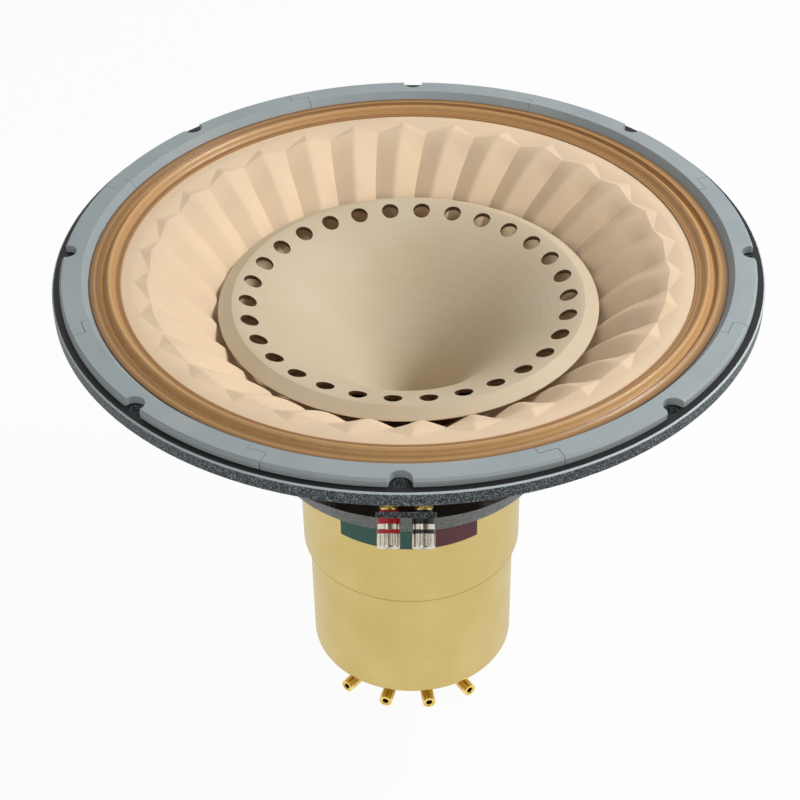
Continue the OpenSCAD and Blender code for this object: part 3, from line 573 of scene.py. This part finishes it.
pulp = new_finish("cone_paper", (236, 210, 178), 0.85)
pulp_clouds = noise(pulp, 0.035, 3.0)
pulp_fibres = noise(pulp, 0.0009, 5.0, rough=0.65)
put(pulp, "Base Color", blended(
    pulp, work(pulp, "MULTIPLY1", work(pulp, "SUBTRACT", pulp_fibres, 0.45), 0.8),
    shades(pulp, pulp_clouds, [
        (0.32, (232, 206, 176)), (0.5, (237, 211, 178)), (0.7, (240, 214, 178))]),
    (222, 194, 160)))
put(pulp, "Normal", relief(pulp, pulp_fibres, 0.00006))
cone = shell("pleated_cone", np.array(cone_rows), None, paper_t, True, pulp)
across = len(sides)
valley_columns = {k for k, (i, u) in enumerate(sides) if u == 1}
under = across * len(cone_rows)
for edge in cone.data.edges:
    ends = sorted(v % under for v in edge.vertices)
    rows_of_ends = [v // across for v in ends]
    columns_of_ends = {v % across for v in ends}
    along_row = rows_of_ends[0] == rows_of_ends[1]
    if along_row and rows_of_ends[0] in (zigzag_row, zigzag_row + 1):
        edge.use_edge_sharp = True
    if not along_row and rows_of_ends[0] >= zigzag_row and columns_of_ends <= valley_columns:
        edge.use_edge_sharp = True
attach(cone, "woofer_cone")
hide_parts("cone")

# Surround
# The surround is a ring of doped cloth with two rolls, a broad low one inside and a small one
# outside. Its lip is glued under the gasket, and its inner edge laps over the cone's rim.
surround_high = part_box("surround")[1]
surround_out_r = surround_high.x
lip_r = 0.1715
roll_in_r = 0.1605
surround_t = 0.0008
pucker_h = 0.00006
surround_knots = [
    (surround_out_r, 0.0093), (lip_r, 0.0093), (0.16995, 0.010), (0.16775, 0.0077),
    (0.16428, 0.0109), (roll_in_r, 0.00745), (0.158, 0.00745)]
surround_steps = 10
surround_profile = []
for (r0, z0), (r1, z1) in zip(surround_knots, surround_knots[1:]):
    for k in range(surround_steps):
        share = k / surround_steps
        surround_profile.append((r0 + (r1 - r0) * share, eased(z0, z1, share)))
surround_profile.append(surround_knots[-1])


def pucker(radius, angle):
    """Small uneven waves that the drying dope leaves in the rolls."""
    if not roll_in_r < radius < lip_r:
        return 0
    on_roll = math.sin(math.pi * (radius - roll_in_r) / (lip_r - roll_in_r))
    waves = math.sin(37 * angle + 2) + math.sin(61 * angle) + math.sin(143 * angle + 1) * 0.7
    return pucker_h * on_roll * waves


doped = new_finish("doped_cloth", (204, 158, 100), 0.5, coat=0.15)
crease_r = 0.1575
crease_span = 0.018
ridge_pitch = 0.0014
dark_dope = (150, 104, 58)
# Painted light and shade across the rolls: highlights on the ridges, shade in the grooves and by
# the gasket.
across_rolls = work(doped, "DIVIDE1", work(doped, "SUBTRACT", reach_of(doped), crease_r), crease_span)
dope = shades(doped, across_rolls, [
    (0.02, (190, 144, 92)), (0.1, (140, 96, 48)), (0.19, (186, 140, 84)), (0.33, (204, 158, 100)),
    (0.48, (210, 166, 108)), (0.56, (186, 144, 88)), (0.67, (140, 98, 48)), (0.78, (188, 146, 90)),
    (0.88, (146, 104, 56)), (0.97, (84, 58, 28))])
streaks = noise(doped, 0.004, 3.0)
put(doped, "Base Color", blended(
    doped, work(doped, "MULTIPLY1", streaks, 0.3), dope, dark_dope))
ridges = work(doped, "SINE", work(doped, "MULTIPLY", reach_of(doped), 2 * math.pi / ridge_pitch))
put(doped, "Normal", relief(
    doped, noise(doped, 0.0007, 3.0), 0.00004, relief(doped, ridges, 0.00005)))
ring_in_sectors("surround", "surround", surround_profile, pucker, surround_t, doped)

# Gasket
# Eight segments of pressed grey fibre board are glued to the frame's front ring. Their ends
# lap in a small step, and each has a round notch that leaves room for a mounting screw.
board = new_finish("gasket_board", (150, 160, 163), 0.62)
pulp_spots = noise(board, 0.0011, 4.0, rough=0.6)
stains = noise(board, 0.045, 2.0)
# Painted light: the board's side walls and edges are painted a paler grey, for light falling on
# them.
painted_side_light = work(board, "MULTIPLY", work(board, "LESS_THAN", upward(board), 0.3), 0.45)
painted_board_highlight = work(board, "MAXIMUM", work(board, "MULTIPLY1", edge_wear_and_highlight(board, 0.0005), 0.6), painted_side_light)
put(board, "Base Color", blended(
    board, painted_board_highlight,
    blended(board, work(board, "MULTIPLY1", work(board, "SUBTRACT", pulp_spots, 0.45), 0.6),
            shades(board, stains, [
                (0.3, (152, 162, 166)), (0.5, (159, 169, 171)), (0.7, (166, 174, 174))]),
            (138, 149, 153)),
    (206, 212, 212)))
put(board, "Normal", relief(board, pulp_spots, 0.00004))
dress(board, *[f"front_gasket_{n}" for n in range(1, 9)])

# Horn
# The tweeter's horn is a pressed trumpet with a flat bevelled rim and thirty vent holes,
# sprayed beige. Its vent walls carry painted shade in dark brown and its edges a painted
# highlight. It stands on the throat tube, which runs down through the woofer's pole.
vent_in_r = 0.0847
vent_out_r = 0.0957
# Dark brown of the painted shade inside the vents.
vent_shade_colour = (92, 66, 42)
horn_paint = new_finish("horn_spray", (208, 191, 163), 0.62)
orange_peel = noise(horn_paint, 0.0008, 3.0)
mist = noise(horn_paint, 0.05, 2.0)
spot_r = reach_of(horn_paint)
upright = work(horn_paint, "LESS_THAN", work(horn_paint, "ABSOLUTE", upward(horn_paint)), 0.25)
among = work(horn_paint, "MULTIPLY", work(horn_paint, "GREATER_THAN", spot_r, vent_in_r),
             work(horn_paint, "LESS_THAN", spot_r, vent_out_r))
# Painted shade: the upright walls among the vents are painted dark brown, for the shade in the
# holes.
painted_vent_shade = work(horn_paint, "MULTIPLY", upright, among)
sprayed = shades(horn_paint, mist, [
    (0.3, (205, 187, 158)), (0.5, (208, 191, 163)), (0.7, (210, 195, 170))])
put(horn_paint, "Base Color", blended(
    horn_paint, painted_vent_shade,
    # Painted highlight: the horn's edges are painted a paler beige.
    blended(horn_paint, work(horn_paint, "MULTIPLY1", edge_wear_and_highlight(horn_paint, 0.0004), 0.4),
            sprayed, (236, 224, 202)),
    vent_shade_colour))
put(horn_paint, "Normal", relief(horn_paint, orange_peel, 0.00002))
dress(horn_paint, "horn")

aluminium = new_finish("turned_aluminium", (190, 191, 192), 0.3, metal=1.0)
lathe = noise(aluminium, 0.0005, 1.0, add(aluminium, "Mapping", {
    "Vector": place_of(aluminium), "Scale": (0.1, 0.1, 1.0)})[0])
tinted(aluminium, 0.02, [
    (0.3, (178, 180, 182)), (0.5, (190, 191, 192)), (0.7, (200, 200, 198))])
put(aluminium, "Normal", relief(aluminium, lathe, 0.00002))
dress(aluminium, "throat_tube", "tweeter_back_cover", "tweeter_clamp_ring")

# Tweeter
# A thin foil dome on its own copper coil fires up through the slots of a moulded plug. Its
# cloth edge is clamped under a ring, and a cast cover closes the motor from behind.
foil = new_finish("drawn_foil", (214, 214, 212), 0.22, metal=1.0)
tinted(foil, 0.004, [(0.3, (204, 205, 206)), (0.5, (214, 214, 212)), (0.7, (222, 221, 216))])
grained(foil, 0.0008, 0.00001)
dress(foil, "tweeter_dome")

plug = new_finish("moulded_plug", (52, 52, 54), 0.45)
tinted(plug, 0.003, [(0.3, (44, 44, 46)), (0.7, (60, 60, 62))])
grained(plug, 0.0006, 0.00002)
dress(plug, "phase_plug")

edge_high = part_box("tweeter_surround")[1]
dome_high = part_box("tweeter_dome")[1]
edge_gap = 0.0007
edge_roll_w = 0.0062
edge_roll_h = 0.0009
edge_t = 0.0004
edge_steps = 16
edge_sectors = 12
edge_z = edge_high.z
edge_in_r = dome_high.x + edge_gap
edge_roll_r = dome_high.x + edge_roll_w
edge_profile = [(edge_high.x, edge_z)]
for step in range(edge_steps, -1, -1):
    share = step / edge_steps
    edge_profile.append((edge_in_r + (edge_roll_r - edge_in_r) * share,
                         dome_high.z + (edge_z - dome_high.z) * share
                         - edge_roll_h * math.sin(math.pi * share)))
edge_cloth = cloth("tweeter_edge_cloth", (190, 164, 122), (164, 136, 96), (210, 188, 150),
                   0.0005, 0.00004, 0.7)
ring_in_sectors("tweeter_edge", "tweeter_surround", edge_profile, lambda r, a: 0.0, edge_t,
                edge_cloth,
                count=edge_sectors)

# Covers and bands
# Two deep drawn brass-coloured covers hide both motors. They are satin blasted and anodised,
# and the upper one carries two plain printed bands, one green and one maroon.
# Colour of the painted shadow under the step between the two covers.
seam_shadow_colour = (92, 70, 40)
seam_shadow_h = 0.0006
satin = new_finish("satin_gold", (219, 203, 136), 0.36, metal=1.0)
blasted = noise(satin, 0.0006, 2.0)
handled = noise(satin, 0.03, 3.0)
seam_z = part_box("upper_cover")[0].z
height = add(satin, "SeparateXYZ", {0: place_of(satin)})["Z"]
# Painted shadow: a thin dark brown band at the upper cover's lower edge, for the shade of its step.
painted_seam_shadow = work(satin, "COMPARE", height, seam_z, seam_shadow_h)
put(satin, "Base Color", blended(satin, work(satin, "MULTIPLY", painted_seam_shadow, 0.5), shades(satin, handled, [
    (0.3, (208, 186, 116)), (0.5, (212, 190, 122)), (0.7, (216, 195, 130))]), seam_shadow_colour))
put(satin, "Roughness", work(satin, "MULTIPLY_ADD", blasted, 0.12, 0.3))
put(satin, "Normal", relief(satin, blasted, 0.000012))
dress(satin, "upper_cover", "lower_cover", "rear_cap")


def printed(name, colour, faded, node):
    """A plain printed band with slightly rubbed edges."""
    made = new_finish(name, colour, 0.5)
    ink = noise(made, 0.008, 3.0)
    rubbed = work(made, "MULTIPLY1", edge_wear_and_highlight(made, 0.0006), 0.5)
    put(made, "Base Color", blended(made, rubbed, shades(made, ink, [
        (0.3, colour), (0.75, faded)]), (168, 160, 132)))
    grained(made, 0.0005, 0.000008)
    dress(made, node)


printed("green_ink", (26, 82, 68), (36, 92, 78), "green_band")
printed("maroon_ink", (88, 28, 36), (100, 38, 46), "maroon_band")

# Rear terminals
# Four gold plated screw terminals stand out of the rear cap like spokes, each on an ivory
# bush. Their knobs are finely knurled barrels with an open socket for a plug.
gold = new_finish("gold_plate", (244, 214, 128), 0.22, metal=1.0)
tinted(gold, 0.003, [(0.3, (238, 204, 112)), (0.5, (244, 214, 128)), (0.7, (248, 224, 150))])
grained(gold, 0.0004, 0.000008)
dress(gold, "rear_studs", "terminal_nuts", "solder_lugs",
      *[f"rear_ring_{n}" for n in range(1, 5)], *[f"rear_knob_{n}" for n in range(1, 5)])


def moulded(name, colour, light, nodes, roughness=0.3, coat=0.1):
    """A glossy moulded plastic with faint flow marks and a painted highlight on its edges."""
    made = new_finish(name, colour, roughness, coat=coat)
    flow = noise(made, 0.004, 2.0)
    # Painted highlight: the edges are painted in the lighter shade.
    edges = work(made, "MULTIPLY1", edge_wear_and_highlight(made, 0.0003), 0.35)
    put(made, "Base Color", blended(made, edges, shades(made, flow, [
        (0.3, colour), (0.75, light)]), light))
    put(made, "Normal", relief(made, flow, 0.00001))
    dress(made, *nodes)


moulded("ivory_plastic", (214, 200, 168), (226, 214, 186), ["rear_insulators"], 0.4, 0.1)

# Front terminals
# Two nickel plated screw terminals hang from the frame's tab, a red one and a black one. Each
# has a moulded collar and ring, a plain metal band and a fluted knob.
moulded("red_plastic", (196, 8, 16), (226, 40, 40), ["red_insulators", "red_ring"],
        0.35, 0.0)
moulded("black_plastic", (14, 14, 16), (44, 46, 50), ["black_insulators", "black_ring"])
nickel = new_finish("nickel_plate", (214, 208, 192), 0.12, metal=1.0)
tinted(nickel, 0.003, [(0.3, (204, 198, 182)), (0.5, (214, 208, 192)), (0.7, (222, 214, 196))])
grained(nickel, 0.0006, 0.000006)
dress(nickel, "terminal_studs", "red_knob", "black_knob")

# Floor
# A plain pale sheet under the speaker takes its faint shadow.
floor_z = cad_box[0].z
floor_size = 12.0
floor_mesh = bpy.data.meshes.new("floor")
reach = floor_size / 2
floor_mesh.from_pydata([(-reach, -reach, floor_z), (reach, -reach, floor_z),
                        (reach, reach, floor_z), (-reach, reach, floor_z)], [], [(0, 1, 2, 3)])
floor = bpy.data.objects.new("floor", floor_mesh)
bpy.context.scene.collection.objects.link(floor)
paper = new_finish("floor_paper", (244, 244, 244), 0.9)
floor.data.materials.append(paper)
path = add(paper, "LightPath", {})
seen = work(paper, "ADD1", work(paper, "ADD1", path["Is Camera Ray"], path["Is Glossy Ray"]),
            path["Is Transmission Ray"])
lit = add(paper, "Emission", {"Color": (1, 1, 1, 1), "Strength": 1.0})[0]
shader_out = paper.node_tree.nodes["Principled BSDF"].outputs[0]
white_share = 0.95
mixed = add(paper, "MixShader", {
    0: work(paper, "MULTIPLY", seen, white_share), 1: shader_out, 2: lit})[0]
paper.node_tree.links.new(mixed, paper.node_tree.nodes["Material Output"].inputs["Surface"])

# Light
# Plain soft studio light: an even white room, a lamp high on the right, and a broader, weaker
# one low in front. Shiny faces see a darker curtain high in front of the speaker.
room = bpy.data.worlds.new("room")
bpy.context.scene.world = room
room.use_nodes = True
room_light = 0.22
mirror_light = 0.9
curtain_way = (0.1, -0.74, 0.67)
curtain_edge = 0.55
curtain_rise = 2.6
curtain_dark = 0.75
background = room.node_tree.nodes["Background"]
room_path = add(room, "LightPath", {})
mirrored = work(room, "ADD1", room_path["Is Glossy Ray"], room_path["Is Transmission Ray"])
looking = add(room, "TexCoord", {})["Generated"]
to_front = add(room, "VectorMath", {0: looking, 1: curtain_way},
               operation="DOT_PRODUCT")["Value"]
curtain = work(room, "MULTIPLY1", work(room, "SUBTRACT", to_front, curtain_edge), curtain_rise)
beyond = work(room, "MULTIPLY_ADD", curtain, -curtain_dark, mirror_light - room_light)
level = work(room, "MULTIPLY_ADD", mirrored, beyond, room_light)
level = work(room, "MAXIMUM", level, room_path["Is Camera Ray"])
background.inputs["Color"].default_value = (1, 1, 1, 1)
room.node_tree.links.new(level, background.inputs["Strength"])


def lamp(name, turn, height, distance, size, power):
    """A square soft lamp that points at the cone. Its turn is from the right to the back."""
    data = bpy.data.lights.new(name, "AREA")
    data.size = size
    data.energy = power
    made = bpy.data.objects.new(name, data)
    bpy.context.scene.collection.objects.link(made)
    turn, height = math.radians(turn), math.radians(height)
    where = Vector((math.cos(turn) * math.cos(height), math.sin(turn) * math.cos(height),
                    math.sin(height)))
    made.location = where * distance
    made.rotation_euler = where.to_track_quat("Z", "Y").to_euler()


lamp("key_lamp", 12, 49, 1.6, 0.5, 21)
lamp("fill_lamp", -105, 25, 1.6, 0.9, 4)

# Camera
# The camera looks down on the speaker from the front, as the photographer did.
camera_data = bpy.data.cameras.new("camera")
camera_data.sensor_width = 36
camera_data.lens = 82.314
camera = bpy.data.objects.new("camera", camera_data)
bpy.context.scene.collection.objects.link(camera)
camera_place = Vector((0.020945, -0.835999, 0.581401))
camera_turn = math.radians(1.82)
camera_height = math.radians(38.839)
camera_roll = math.radians(-0.97)
back = Matrix.Rotation(camera_turn, 3, "Z") @ Vector((0, -math.cos(camera_height),
                                                      math.sin(camera_height)))
right = Matrix.Rotation(camera_turn, 3, "Z") @ Vector((1, 0, 0))
up = back.cross(right)
rolled_right = right * math.cos(camera_roll) + up * math.sin(camera_roll)
rolled_up = up * math.cos(camera_roll) - right * math.sin(camera_roll)
axes = Matrix((rolled_right, rolled_up, back)).transposed()
camera.matrix_world = Matrix.Translation(camera_place) @ axes.to_4x4()
bpy.context.scene.camera = camera
bpy.context.scene.view_settings.view_transform = "Standard"
